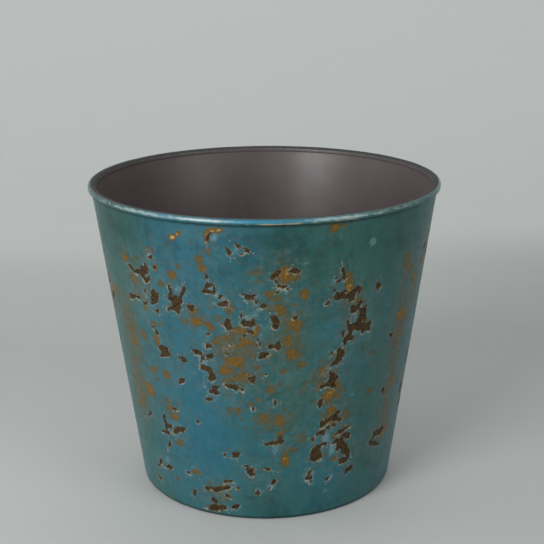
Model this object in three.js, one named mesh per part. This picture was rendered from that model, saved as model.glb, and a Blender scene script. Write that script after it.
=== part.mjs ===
// A tapered florist bucket: one seamless plastic moulding with a rounded rim, a flat floor raised on a foot ring,
// and a patina paint coat over its outside. Millimetres, +Z up, origin at the centre of the foot.
import * as THREE from "three";

// Driving dimensions.
const HEIGHT = 146.4;
const RIM_RADIUS = 82.5; // outermost, at the rim bead
const BASE_RADIUS = 60.8; // outer wall carried down to the foot
const WALL = 2.2; // level thickness of the side wall
const FLOOR = 2.4;
const SEGMENTS = 64; // flats around each turned piece

// Rim bead, which stands out all round the top of the wall.
const BEAD_HEIGHT = 2.6;
const BEAD_OVERHANG = 1.6;
const BEAD_LOWER_ROUND = 0.8;
const BEAD_UPPER_ROUND = 1.3;
const UNDERCUT_ROUND = 0.5; // hollow where the wall runs into the bead

// Inner band, the upright stretch of the inside just below the top land.
const BAND_RADIUS = 78.6;
const BAND_ROUND = 1.5;
const BAND_HEIGHT = 2.1;
const BAND_CHAMFER = 0.5;

// Foot: a ring that carries the bucket, with the floor panel raised inside it.
const FOOT_ROUND = 1.6;
const FOOT_WIDTH = 5.2;
const FOOT_DRAFT = 0.6;
const FOOT_INNER_ROUND = 0.8;
const PANEL_RISE = 3.0;
const FLOOR_FILLET = 6.0; // inside, between the floor and the wall
const GATE_RADIUS = 4.0; // shallow dimple left by the moulding gate
const GATE_DEPTH = 0.5;

// Paint coat, laid on the outside from the foot's round to the edge of the top land.
const COAT = 0.3;
const COAT_GAP = 0.05;

const ARC_STEPS = 4;

const wallTop = HEIGHT - BEAD_HEIGHT;
const wallTopRadius = RIM_RADIUS - BEAD_OVERHANG;
const taper = (wallTopRadius - BASE_RADIUS) / wallTop;
const outerRadiusAt = (z) => BASE_RADIUS + taper * z;
const innerRadiusAt = (z) => outerRadiusAt(z) - WALL;

// Points of an outline whose corners are rounded. A corner is {r, z, round}, and its arc touches both sides.
function rounded(corners) {
  return corners.flatMap(({ r, z, round = 0 }, i) => {
    const corner = new THREE.Vector2(r, z);
    if (!round) return [corner];
    const before = corners[i - 1];
    const after = corners[i + 1];
    const back = new THREE.Vector2(before.r, before.z).sub(corner).normalize();
    const ahead = new THREE.Vector2(after.r, after.z).sub(corner).normalize();
    const half = Math.acos(back.dot(ahead)) / 2;
    const centre = back.clone().add(ahead).setLength(round / Math.sin(half)).add(corner);
    const start = corner.clone().addScaledVector(back, round / Math.tan(half)).sub(centre);
    const sweep = (Math.PI - 2 * half) * Math.sign(ahead.cross(back));
    return Array.from({ length: ARC_STEPS + 1 }, (_, k) =>
      start.clone().rotateAround(new THREE.Vector2(), (sweep * k) / ARC_STEPS).add(centre),
    );
  });
}

// The same outline moved inwards by a distance, along the mean of the normals on either side of each point.
function inset(points, distance) {
  return points.map((point, i) => {
    const before = points[Math.max(i - 1, 0)];
    const after = points[Math.min(i + 1, points.length - 1)];
    const along = after.clone().sub(before).normalize();
    return point.clone().add(new THREE.Vector2(-along.y, along.x).multiplyScalar(distance));
  });
}

// Turns an outline of (radius, height) points around the upright axis.
function turned(name, outline, material) {
  const mesh = new THREE.Mesh(new THREE.LatheGeometry(outline, SEGMENTS), material);
  mesh.name = name;
  mesh.rotation.x = Math.PI / 2;
  return mesh;
}

// The outside, from the foot's flat up the wall and round the bead to the top land.
const landOuter = RIM_RADIUS - BEAD_UPPER_ROUND;
const outside = rounded([
  { r: BASE_RADIUS - FOOT_WIDTH / 2, z: 0 },
  { r: BASE_RADIUS, z: 0, round: FOOT_ROUND },
  { r: wallTopRadius, z: wallTop, round: UNDERCUT_ROUND },
  { r: RIM_RADIUS, z: wallTop, round: BEAD_LOWER_ROUND },
  { r: RIM_RADIUS, z: HEIGHT, round: BEAD_UPPER_ROUND },
  { r: landOuter - BEAD_UPPER_ROUND, z: HEIGHT },
]);

// The coat starts halfway round the foot's corner, clear of the ground, and ends where the top land begins.
const coatStart = 1 + ARC_STEPS / 2;
const coatedAt = (depth) => inset(outside, depth).slice(coatStart, -1);

const mouldedPlastic = new THREE.MeshStandardMaterial({ color: 0x4d4240, roughness: 0.42, metalness: 0.0 });
const patinaPaint = new THREE.MeshStandardMaterial({ color: 0x2b6373, roughness: 0.38, metalness: 0.0 });

function paintCoat() {
  const outline = [...coatedAt(0), ...coatedAt(COAT).reverse()];
  return turned("paint_coat", [...outline, outline[0].clone()], patinaPaint);
}

function bucketShell() {
  const floorTop = PANEL_RISE + FLOOR;
  const footInner = BASE_RADIUS - FOOT_WIDTH;
  const underside = rounded([
    { r: 0, z: PANEL_RISE + GATE_DEPTH },
    { r: GATE_RADIUS, z: PANEL_RISE + GATE_DEPTH },
    { r: GATE_RADIUS + GATE_DEPTH, z: PANEL_RISE },
    { r: footInner - FOOT_DRAFT, z: PANEL_RISE },
    { r: footInner, z: 0, round: FOOT_INNER_ROUND },
    { r: BASE_RADIUS, z: 0 },
  ]).slice(0, -1);
  const bandFoot = HEIGHT - BAND_HEIGHT;
  const wallInnerTop = bandFoot - BAND_CHAMFER;
  const inside = rounded([
    { r: landOuter, z: HEIGHT },
    { r: BAND_RADIUS, z: HEIGHT, round: BAND_ROUND },
    { r: BAND_RADIUS, z: bandFoot },
    { r: innerRadiusAt(wallInnerTop), z: wallInnerTop },
    { r: innerRadiusAt(floorTop), z: floorTop, round: FLOOR_FILLET },
    { r: 0, z: floorTop },
  ]).slice(1);
  const landEdge = new THREE.Vector2(landOuter - COAT_GAP, HEIGHT);
  const underCoat = coatedAt(COAT + COAT_GAP);
  // The outermost point under the coat's upper end stops short of it, so that the land's edge stands straight up.
  underCoat[underCoat.length - 1].x = landEdge.x;
  const bareFoot = outside.slice(1, coatStart);
  return turned("bucket_shell", [...underside, ...bareFoot, ...underCoat, landEdge, ...inside], mouldedPlastic);
}

const bucket = new THREE.Group();
bucket.add(bucketShell(), paintCoat());

export default bucket;
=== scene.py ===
"""A florist bucket: a satin brown moulding under a chipped verdigris paint coat.

Metres, +Z up, the axis of the bucket on the Z axis. A turn is an angle round that axis, measured
from the bucket's face, which looks along -Y, towards +X.
"""
import math

import bpy
import numpy as np
from bpy.props import FloatProperty, FloatVectorProperty, IntProperty, PointerProperty
from mathutils import Euler, Matrix, Vector


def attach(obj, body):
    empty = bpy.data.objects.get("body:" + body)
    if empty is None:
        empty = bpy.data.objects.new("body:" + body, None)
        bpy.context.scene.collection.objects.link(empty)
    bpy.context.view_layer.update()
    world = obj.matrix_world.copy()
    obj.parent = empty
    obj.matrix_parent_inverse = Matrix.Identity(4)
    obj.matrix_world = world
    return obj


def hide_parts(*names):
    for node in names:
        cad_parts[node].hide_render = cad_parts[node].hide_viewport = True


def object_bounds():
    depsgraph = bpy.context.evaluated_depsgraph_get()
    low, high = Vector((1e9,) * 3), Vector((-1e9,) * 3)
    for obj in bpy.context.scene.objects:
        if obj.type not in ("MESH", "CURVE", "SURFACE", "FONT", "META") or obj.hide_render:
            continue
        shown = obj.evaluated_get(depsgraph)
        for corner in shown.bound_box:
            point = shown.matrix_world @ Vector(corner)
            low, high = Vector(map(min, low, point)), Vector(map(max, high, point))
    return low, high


bl_info = {
    "name": "Florist bucket",
    "version": (1, 0, 0),
    "blender": (4, 5, 0),
    "location": "3D View > Sidebar > Bucket",
    "description": "Makes a tapered florist bucket with a chipped verdigris paint coat",
    "category": "Add Mesh",
}

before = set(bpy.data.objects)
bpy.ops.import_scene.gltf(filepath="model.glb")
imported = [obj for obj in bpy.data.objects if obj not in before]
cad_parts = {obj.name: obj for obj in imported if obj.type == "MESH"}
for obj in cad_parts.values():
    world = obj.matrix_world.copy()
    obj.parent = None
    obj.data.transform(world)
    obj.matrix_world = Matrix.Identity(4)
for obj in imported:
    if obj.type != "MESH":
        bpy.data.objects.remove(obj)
CAD_LOW, CAD_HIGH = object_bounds()

MM = 0.001
ARC_STEPS = 6
SHELL_COLUMNS = 240
SHELL_STEP = 3 * MM  # longest step along the moulding's outline
COAT_STEP = 0.98 * MM  # and along the coat's outer face
BACK_STEP = 12 * MM  # and along the face that lies against the moulding
COAT_GAP = 0.05 * MM  # between the coat and the moulding
UNEVENNESS = 0.04 * MM  # of the painted surface
FAR_OUTSIDE = -8.0  # field value, in mm, for a place that no chip is near
CHIP_GROWTH = 0.25  # how far a chip reaches past its marks, in mm
AIR_STRENGTH = 0.78

# Chips in the paint, down to the brown moulding: turn in degrees, height, half width and half height in
# mm, and lean in degrees if any, anticlockwise as seen from outside. Marks that overlap make one chip.
CHIPS = (
    # upper left
    (-42.8, 117.4, 2.8, 2.6, 15), (-41.4, 120.6, 0.9, 1.5, -10), (-42.3, 113.8, 1.4, 1.3),
    (-45.8, 116.7, 1.9, 1.2), (-49, 117.2, 2.4, 0.9, -22), (-40.6, 115, 0.9, 1.3),
    (-39.3, 106.7, 2.5, 2.2, -10), (-39.9, 104, 1.6, 1.2), (-38, 107.4, 1.2, 1.2), (-43.6, 108.4, 0.6, 0.6),
    (-43.4, 103.2, 0.5, 0.5), (-51.2, 103.2, 2.9, 0.9, 6), (-48, 103.7, 1.1, 0.5, 10),
    (-44.6, 101.7, 0.9, 0.5, -10), (-38.9, 99.9, 0.8, 0.4, 10), (-32.2, 112.8, 0.9, 1.1),
    (-31.9, 110, 1, 1.4, -10), (-30.8, 107.3, 2.3, 1.6, -10), (-28.9, 106.8, 1.6, 1.4),
    (-30.2, 104.3, 1.9, 1.8), (-31.6, 102.8, 1.9, 0.9, -12), (-29.9, 102, 1.2, 0.8),
    (-27.5, 110.4, 0.8, 1.7, -25), (-26.4, 112.8, 0.9, 1, -20), (-33.8, 101.8, 0.7, 0.4, -20),
    (-24.6, 104.6, 1.4, 1.6, 25), (-38.4, 125, 0.9, 0.7, 20), (-40, 127.2, 0.5, 0.4),
    (-37.3, 120.6, 0.9, 0.7), (-40.6, 89.2, 0.9, 1), (-42.3, 91.2, 0.6, 0.5), (-38.4, 80.9, 3, 2, -18),
    (-36.4, 80, 1.4, 1.2), (-38.5, 78.6, 1.5, 0.8, 10), (-29.6, 78.5, 1.5, 0.7, -8), (-31, 79.5, 0.6, 0.4),
    (-23.9, 83.6, 1.7, 1.4), (-22, 81, 0.5, 0.8), (-21.2, 83, 0.4, 0.5), (-22.6, 79.4, 0.5, 0.4),
    (-21.8, 76.4, 1.6, 1.2, -30),
    # upper middle
    (-16.7, 137.6, 0.5, 1.3, -10), (-16.2, 139.3, 0.7, 0.4, 40), (-10.6, 131.6, 0.5, 1.1, 20),
    (-7.8, 134.7, 0.9, 0.4, -30), (-5.6, 133.4, 0.9, 0.4, -25), (-6.6, 131.2, 0.7, 0.4, 20),
    (-18.2, 120, 0.7, 0.7), (-17.8, 115.9, 1.4, 1.2), (-18.8, 113.1, 1.3, 1.2), (-16, 115.3, 0.5, 1),
    (-16.2, 112.6, 0.5, 0.5), (-13.9, 111.2, 0.9, 0.7), (-12.5, 108.7, 0.9, 1.1, -30),
    (-13.6, 107.8, 1.6, 0.8), (-6.3, 112, 0.9, 1.5, 20), (-4.5, 111.5, 1.5, 1.1), (-3, 112.5, 0.6, 0.6),
    (-2.7, 109.6, 1, 1.3, 25), (-1, 107.3, 0.9, 0.6, 30), (0.3, 107.6, 0.5, 0.5), (-7.5, 102.5, 0.4, 1, 10),
    (-5.3, 99.2, 2.4, 1.4, -20), (-3.6, 99.8, 0.9, 1.1), (-7.2, 100.6, 0.8, 0.8), (-4.5, 95.3, 1, 0.5),
    (-12.1, 98.3, 1.9, 2.1), (3.1, 100.9, 1.3, 2), (3.6, 98.6, 1.2, 1.5), (4.2, 100.3, 0.8, 1),
    (10.2, 101.6, 0.9, 0.7), (4.1, 122.3, 1.3, 0.9, 25), (2.6, 120.9, 0.6, 0.8), (4, 118.5, 0.7, 0.9),
    (9.4, 123.4, 1.7, 1.2, 10), (7.6, 123.6, 0.6, 0.6), (4.6, 116.2, 0.5, 0.4), (6.3, 116.4, 0.8, 0.4),
    (4, 113.8, 0.5, 0.5), (7.4, 115.2, 0.4, 0.6), (-1.8, 90.1, 0.6, 1.3, 25), (-2.5, 91.4, 0.4, 0.4),
    (4, 88.6, 1.6, 1.5), (2.2, 88.4, 1.1, 0.8), (4.6, 90, 0.8, 0.8), (-0.5, 84.3, 1.9, 1.3),
    (0.6, 85, 0.7, 0.6), (-19.2, 87.3, 1.2, 1.1), (-18.2, 88, 0.6, 0.5), (-19.2, 82.5, 1.5, 1.1),
    (-20.5, 81.2, 0.6, 0.5), (-11, 89, 0.4, 0.4), (-13.2, 87.4, 0.4, 0.4), (-13, 84.2, 0.4, 0.4),
    (-19, 93.3, 0.5, 0.4), (-6.8, 93.5, 0.4, 0.4), (-20.3, 76.3, 1.2, 0.9), (0.4, 75.3, 0.5, 0.5),
    # lower middle
    (-18.9, 72.3, 1.9, 1.6, 10), (-18.3, 65.6, 1.5, 1.8, 20), (-20, 65, 0.9, 0.9), (-17.4, 67.2, 0.8, 0.8),
    (-20.8, 61, 1.1, 0.6), (-12.6, 68.4, 1.6, 0.8, -10), (-10.9, 68.3, 1.3, 1.3), (-13.9, 69.2, 0.7, 0.4),
    (-8, 67.2, 0.8, 1, -20), (-4.5, 72.4, 1.2, 1.4, -25), (-3.6, 73.5, 0.6, 0.5), (-4.5, 57.8, 0.5, 0.6),
    (3.7, 61.5, 0.5, 0.5), (3.6, 59.8, 0.4, 0.5), (0.6, 39.9, 0.8, 0.6, 10), (2.6, 40.4, 1.6, 0.6, 12),
    (4.8, 41, 1.4, 0.6, 5), (5.7, 42.6, 0.7, 1.3, 10), (6.4, 41.4, 0.5, 0.9), (-11.5, 34, 1.9, 1.3, 10),
    (-16.2, 33.3, 0.5, 0.4), (-7.9, 28.4, 1.1, 0.6, -40), (-6.2, 25.6, 1.5, 1.7), (-5.2, 24.6, 0.8, 1),
    (-7, 26.8, 0.8, 0.8), (0.8, 27.1, 1.4, 0.6), (3.3, 20.2, 1.1, 1.1), (1.7, 16.8, 0.7, 0.5, 20),
    (-3.2, 14, 1, 0.8), (-3.4, 15.6, 0.4, 0.5), (-18.7, 15.1, 2.4, 0.9, 15), (-16.3, 16, 1.2, 0.6, 20),
    (-21.8, 14, 1.9, 0.9), (-24.9, 14, 1.5, 1.2), (-14.9, 19.8, 0.9, 0.4, 10), (-16.5, 19.4, 0.8, 0.5, 30),
    (-11.4, 16.5, 0.5, 0.4), (-16, 11.3, 1.3, 0.6, -35), (-22.4, 7.9, 1.2, 1.2), (-22.2, 4, 2.6, 1.4),
    (-18.5, 5, 1.3, 1.2, 20), (-24.6, 2.9, 1.2, 0.6), (-13.6, 5.7, 1.1, 1.1), (-12.3, 6.5, 0.7, 0.6),
    (-19.5, 4.2, 1, 0.9), (17.6, 23, 0.5, 0.8), (18.4, 20.5, 0.5, 0.9), (16.8, 20.4, 0.4, 0.5),
    (18.7, 18.4, 0.4, 0.4), (18.6, 24.2, 0.4, 0.4), (18.5, 40.5, 0.8, 0.9),
    # lower left
    (-31.6, 67.6, 1.5, 1.2, 10), (-31, 68.6, 0.8, 0.6), (-43.4, 46.2, 0.9, 1.2, -20),
    (-43.2, 43.6, 0.7, 1.6, 15), (-42.8, 41, 1.3, 1.3), (-40.5, 42, 1.1, 0.9, 10), (-43, 37.9, 1.6, 0.6, 8),
    (-46, 37.6, 1, 0.5, 20), (-35, 42.2, 2, 1.4, 12), (-37.2, 40.8, 1.5, 0.9, 20), (-38.8, 39.8, 0.8, 0.6),
    (-42.8, 31.6, 0.6, 1.4, -25), (-53, 44, 1.5, 0.8, 40), (-26.5, 48.3, 0.8, 0.6, 10),
    (-50.9, 20, 0.6, 1.3, -15), (-52.5, 17, 0.9, 0.6, 20), (-45.6, 18.7, 1.9, 0.8, 10),
    (-34.1, 20, 1.1, 0.5, 10), (-36.8, 52, 0.9, 0.7, 10), (-31.9, 9.6, 1, 1.5, -20),
    (-54, 9.2, 1.3, 0.8, 10),
    # upper right, the long chain
    (25.6, 120.8, 0.9, 2.1, 15), (24.2, 116.6, 0.9, 0.6), (23.2, 118.2, 0.4, 0.4),
    (22.8, 112.3, 0.8, 0.7, 20), (24.8, 109.6, 2.2, 1.8, -10), (28, 109, 2.1, 1.5),
    (31.2, 111.6, 1.8, 1.3, 10), (26.5, 111.4, 1.2, 0.8), (29.6, 107, 1, 0.8), (30.3, 108.8, 1.2, 1),
    (32.4, 110.8, 0.8, 1.2), (20.7, 107, 0.9, 0.7), (30.8, 102.4, 1.8, 1.4, -10), (33.4, 104.6, 1, 1),
    (32.5, 103, 1, 1.2), (34.4, 99.4, 1.3, 2.4, 10), (35.6, 101, 0.7, 1.5), (35.8, 97.6, 0.8, 1.8),
    (32.5, 93.6, 3.6, 2.2, 5), (36.4, 92.3, 2.6, 2.6), (30.5, 92.8, 1.8, 1.6), (33.8, 96.2, 1.8, 1.2),
    (38.3, 91, 0.9, 1.4), (29, 95.8, 0.5, 0.9), (27.6, 90.8, 1, 1.3), (29.6, 89, 1.8, 1.5),
    (31.4, 88.4, 0.8, 1), (28.6, 86.8, 0.8, 1.2), (27, 81.8, 1.5, 2.6, -10), (26.4, 79.2, 1.2, 1.8, -20),
    (25.2, 77.6, 1.1, 1), (24.2, 76.6, 0.6, 0.6), (28.2, 80.8, 0.6, 1.2), (23.8, 82.8, 0.4, 0.6),
    (40.3, 110.8, 1.1, 1.8, 15), (51.5, 83.6, 1.5, 1, -20), (25, 70.4, 1.8, 2.2, -10),
    (24.2, 72.4, 0.9, 1.2), (26.8, 70.6, 0.8, 0.7), (23.8, 67.6, 2.4, 1, 5), (21.2, 67, 1.6, 0.7, 10),
    (25.6, 66.2, 1.3, 1), (20.5, 58.3, 0.7, 1.4), (21.4, 60.2, 0.5, 0.5),
    # lower right
    (28.2, 52, 1.2, 1.4), (26.8, 50.4, 2.2, 1.4, 15), (23.8, 48.8, 1.8, 1.3, 20),
    (21.9, 47.8, 1.2, 1.2, 20), (29.8, 48.2, 1, 1), (28.2, 49.2, 1, 0.8), (27, 46.4, 1, 0.6, -20),
    (24.6, 45.6, 0.8, 0.6), (22.6, 43.2, 0.8, 1.4), (20.6, 43.2, 0.6, 0.5), (34.5, 43.6, 0.8, 0.7),
    (32.6, 42.8, 1, 0.6, 20), (30.4, 42, 1.1, 0.9), (28.4, 40.9, 0.5, 0.4), (33.2, 39.4, 1.5, 1.2),
    (34.3, 38.6, 0.8, 1.2), (28.4, 37.4, 1.3, 1.1), (31, 36.2, 2.3, 2.1, -15), (32.6, 33.6, 1.8, 2),
    (30.2, 33.6, 1.2, 1.4), (34.6, 30.6, 1.7, 2, 20), (35.4, 28.6, 1.2, 1.6, 10),
    (33.6, 26.4, 2.3, 1.4, 10), (31.8, 25.8, 1.2, 1), (32.6, 31, 1.2, 1.2), (21.4, 36.6, 1.6, 1.3, 20),
    (20.2, 33.6, 1.9, 2), (21.6, 31.8, 1.4, 2.2), (18.6, 32.8, 1.2, 1.4), (19.8, 30.2, 1.8, 1),
    (23.6, 37.2, 0.8, 0.6), (36.6, 20.3, 1.6, 1.4, 20), (35.2, 19.2, 1, 1), (37.8, 21, 0.8, 1.2),
    (48.5, 29.6, 1.4, 1.3, -15), (51.5, 28.4, 2, 1.2, -18), (54.5, 26.8, 1.6, 0.9, -15),
    (51.8, 33.8, 2, 1.6, -20), (55, 34, 2, 1.6, -20), (50, 32.5, 1.2, 1.6), (51.6, 55.8, 1.2, 1.2, -20),
    (26.2, 18.4, 0.6, 0.5),
)

# Ochre stains: turn in degrees, height, half width and half height in mm, and strength. Past 1 they gild.
STAINS = (
    (-52.2, 121.3, 2.6, 1.8, 0.9), (-45.8, 122.8, 1.6, 1, 0.6), (-37.8, 128.5, 2, 1.7, 0.45),
    (-37.2, 120.4, 1.6, 1.5, 0.8), (-30.2, 118.5, 1.9, 1.9, 1), (-27.5, 123.4, 1.3, 1.1, 0.6),
    (-35.6, 113.6, 1.7, 1.5, 0.7), (-48.8, 112.6, 1.9, 2.6, 0.7), (-48.2, 109.3, 1.2, 1.6, 0.4),
    (-47, 105, 1.5, 1.1, 0.7), (-53.5, 102.3, 1.2, 0.9, 0.8), (-44.6, 99.8, 1.6, 1.5, 0.6),
    (-24.4, 103.6, 1.9, 2, 0.9), (-22.8, 98.4, 2.2, 1.7, 0.9), (-27.6, 96.6, 1.3, 1, 0.5),
    (-58.5, 91, 3.2, 4, 0.5), (-56.5, 85, 3, 2.6, 0.55), (-48.3, 85.6, 1.8, 2.2, 0.85),
    (-55.5, 79.8, 2.8, 2.8, 0.75), (-60, 73, 1.6, 1.8, 0.5), (-42, 92.4, 1.8, 1.2, 0.7),
    (-38, 94, 1.6, 0.9, 0.5), (-40.9, 85.6, 1.3, 2.6, 0.85), (-28.7, 135.9, 1.6, 1, 1.6),
    (-26.6, 137.8, 0.8, 0.9, 1.5), (-22.3, 135.2, 0.5, 0.5, 1.1), (-20.4, 127.6, 1.7, 1.5, 0.8),
    (-19.4, 124, 1.3, 1.6, 0.9), (-18.4, 131.6, 1.5, 1, 0.4), (-16.4, 132.3, 1.1, 0.9, 0.7),
    (-17.3, 138.8, 0.9, 1.9, 1.1), (-15.2, 140.8, 1.7, 0.8, 1.3), (-13.2, 141.2, 1.2, 0.9, 1.3),
    (-17.2, 136, 0.8, 0.8, 0.9), (-15.2, 135.1, 0.9, 0.6, 1), (-2, 122.6, 2.4, 1.3, 0.5),
    (-1.5, 118.5, 2, 1, 0.3), (5.2, 128, 2.2, 1.8, 0.3), (6.4, 121.8, 2.6, 2.6, 1.1),
    (8.6, 120.6, 2.4, 1.4, 0.8), (10.3, 119.8, 1.2, 1, 0.6), (3.4, 120.8, 1.2, 1, 0.7),
    (1.2, 113.1, 1.3, 1.8, 0.8), (13.2, 112, 1.8, 1.9, 1), (3.6, 110.5, 1.4, 0.9, 0.6),
    (5, 106.2, 2.2, 2, 0.75), (9.6, 107.2, 2, 0.9, 0.5), (9, 99, 3.4, 2.2, 0.8),
    (10.4, 95.9, 1.8, 1.8, 0.85), (6.4, 100.8, 1.6, 1.2, 0.5), (-11.4, 106.4, 1.6, 2.8, 0.6),
    (-16, 101, 2.2, 1, 0.4), (-14.4, 98, 0.8, 1, 0.7), (-18.6, 96.2, 1.6, 1.9, 0.85),
    (-7.4, 96, 2.8, 2.6, 0.9), (-3, 96.2, 1.6, 3, 0.8), (-14, 91.8, 3.2, 1.4, 0.7),
    (-16.6, 89.4, 2.4, 1.4, 0.65), (-6.4, 90.4, 2.2, 2.4, 0.85), (-10.6, 87.6, 2.6, 1.9, 0.6),
    (-12.8, 84.8, 2.4, 1.2, 0.5), (-3.8, 90.8, 1.8, 1.8, 0.5), (8, 90, 2.9, 2.6, 0.75),
    (9, 84.2, 3, 2.6, 0.8), (-10.4, 81.2, 3.4, 2.6, 1), (-8, 79, 2, 2, 0.6), (12.7, 79, 1.8, 1.6, 0.8),
    (-13.8, 76, 3, 1.5, 0.85), (-6.8, 73.8, 2.8, 1.6, 0.8), (-2, 78, 2.2, 1.5, 0.4),
    (6.4, 76.4, 1.4, 1.4, 0.5), (-14, 71.4, 1.8, 1.2, 0.8), (-10.4, 72.6, 1.6, 1.4, 0.8),
    (2, 67.4, 2.4, 1.9, 0.6), (5.5, 69.5, 1.2, 0.9, 0.4), (13.5, 65.5, 1.6, 1.6, 0.3),
    (8.6, 67.2, 1.2, 1.2, 0.3), (-2.6, 62.4, 1.2, 1, 0.5), (-4.7, 60.3, 1.4, 1.4, 0.6),
    (-13, 56.2, 1.6, 1.8, 0.55), (-9.8, 56.6, 1.6, 1.9, 0.55), (0, 53.2, 2.8, 2.2, 0.65),
    (5.6, 51.8, 2, 1.9, 0.85), (9.4, 54.6, 1.4, 1, 0.4), (5.2, 45, 1.7, 1.5, 0.8), (9, 47, 0.8, 1.2, 0.35),
    (14, 42, 1.8, 2.4, 0.45), (10.6, 36.4, 1.8, 1.2, 0.5), (7.6, 31.4, 1.6, 3.4, 1),
    (-13.8, 64.2, 1.6, 1, 0.4), (19.8, 67.4, 1.4, 2, 0.7), (15, 70, 1, 1.5, 0.4), (-57.5, 69, 4, 2.6, 0.55),
    (-45.4, 68.9, 2.2, 1.6, 0.8), (-39, 68.9, 2.3, 1.7, 0.75), (-44.6, 65, 1.8, 0.9, 0.7),
    (-50.3, 57.4, 2.8, 2.5, 1), (-58, 49.6, 3.2, 2.4, 0.65), (-61, 56, 2, 4, 0.4),
    (-38.4, 54.6, 1.8, 1.3, 0.4), (-39.4, 51.8, 1.7, 1.1, 0.9), (-37.4, 48.2, 2.2, 1.4, 1),
    (-36.5, 35, 2.4, 1.6, 0.6), (-29.6, 21.6, 1.9, 1.4, 0.8), (-41, 14.6, 1.6, 1, 0.4),
    (-24.8, 3.2, 1.8, 1, 1.1), (-26.4, 14, 1.4, 1.2, 0.5), (-54, 9.5, 2, 1.5, 0.4),
    (21.4, 141.4, 1.7, 1.9, 1), (24.6, 141.8, 1.6, 0.9, 0.6), (27.4, 118.4, 1.6, 2.4, 0.8),
    (27.8, 112.8, 2, 2.4, 1.2), (29.4, 116, 1.2, 1.2, 0.5), (20.4, 75.6, 1.6, 1.4, 0.8),
    (55, 117, 2.6, 2.8, 0.7), (58, 113.5, 2.4, 1.8, 0.8), (53.5, 120.5, 1.6, 1.4, 0.5),
    (57, 109, 1.6, 1.4, 0.4), (58, 91.6, 3.6, 2.4, 1), (54.8, 92.4, 1.8, 1.6, 1.1), (60.5, 89, 2, 1.6, 0.7),
    (58, 83, 2.4, 2.4, 0.7), (55, 77.6, 2.6, 2.4, 0.6), (41, 78.2, 2, 1.1, 0.45), (46.5, 88.5, 1, 2, 0.25),
    (32, 105.6, 1.4, 1, 0.7), (36.8, 95.6, 1, 1.5, 0.6), (23.6, 63, 2.8, 2.2, 1.1),
    (27.6, 60.8, 2, 1.4, 0.6), (21.4, 60.8, 1.6, 1.6, 0.7), (25.2, 53.6, 2.6, 1.8, 1),
    (22.6, 52, 1.4, 1.2, 0.6), (32.6, 50.2, 2.2, 1.6, 0.65), (26, 47.4, 1.8, 1.2, 1.1),
    (43, 59, 1.8, 1.2, 0.8), (53.5, 55, 1.6, 1.2, 0.6), (57.5, 58.5, 3, 3.2, 0.7), (56.5, 65, 2.4, 2, 0.45),
    (44.5, 71, 1.6, 0.9, 0.35), (28.5, 28.6, 1.6, 1.2, 0.9), (60.5, 34, 2.2, 3, 0.7),
    (60.5, 43.5, 1.6, 2.6, 0.5), (53.5, 42, 1.4, 2, 0.35), (59, 48, 1.5, 2, 0.4), (25, 57, 1.2, 1, 0.5),
    (27.2, 66.8, 0.9, 0.9, 0.9), (29, 40.9, 1.6, 1.4, 1.1), (31.5, 44.2, 1.8, 0.8, 0.8),
    (57.5, 31, 1.2, 3, 1.1), (65, 100, 3, 8, 0.4),
)

# Thin ochre washes, as for the stains.
WASHES = (
    (-8, 87, 11, 11, 0.42), (9, 93, 6, 12, 0.36), (-9, 74, 9, 5, 0.38), (25, 63, 5, 5, 0.45),
    (-57, 84, 7, 18, 0.38), (57, 84, 7, 26, 0.32), (-59, 55, 7, 14, 0.42), (3, 52, 8, 5, 0.32),
    (27, 50, 5, 4, 0.42), (6, 121, 5, 3, 0.4), (-46, 110, 6, 8, 0.3), (-24, 101, 6, 5, 0.3),
    (-39, 52, 5, 5, 0.3), (56, 44, 5, 14, 0.36), (3, 109, 6, 5, 0.3), (-20, 13, 8, 6, 0.25),
    (31, 104, 6, 8, 0.3), (22, 72, 5, 8, 0.35),
)

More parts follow.
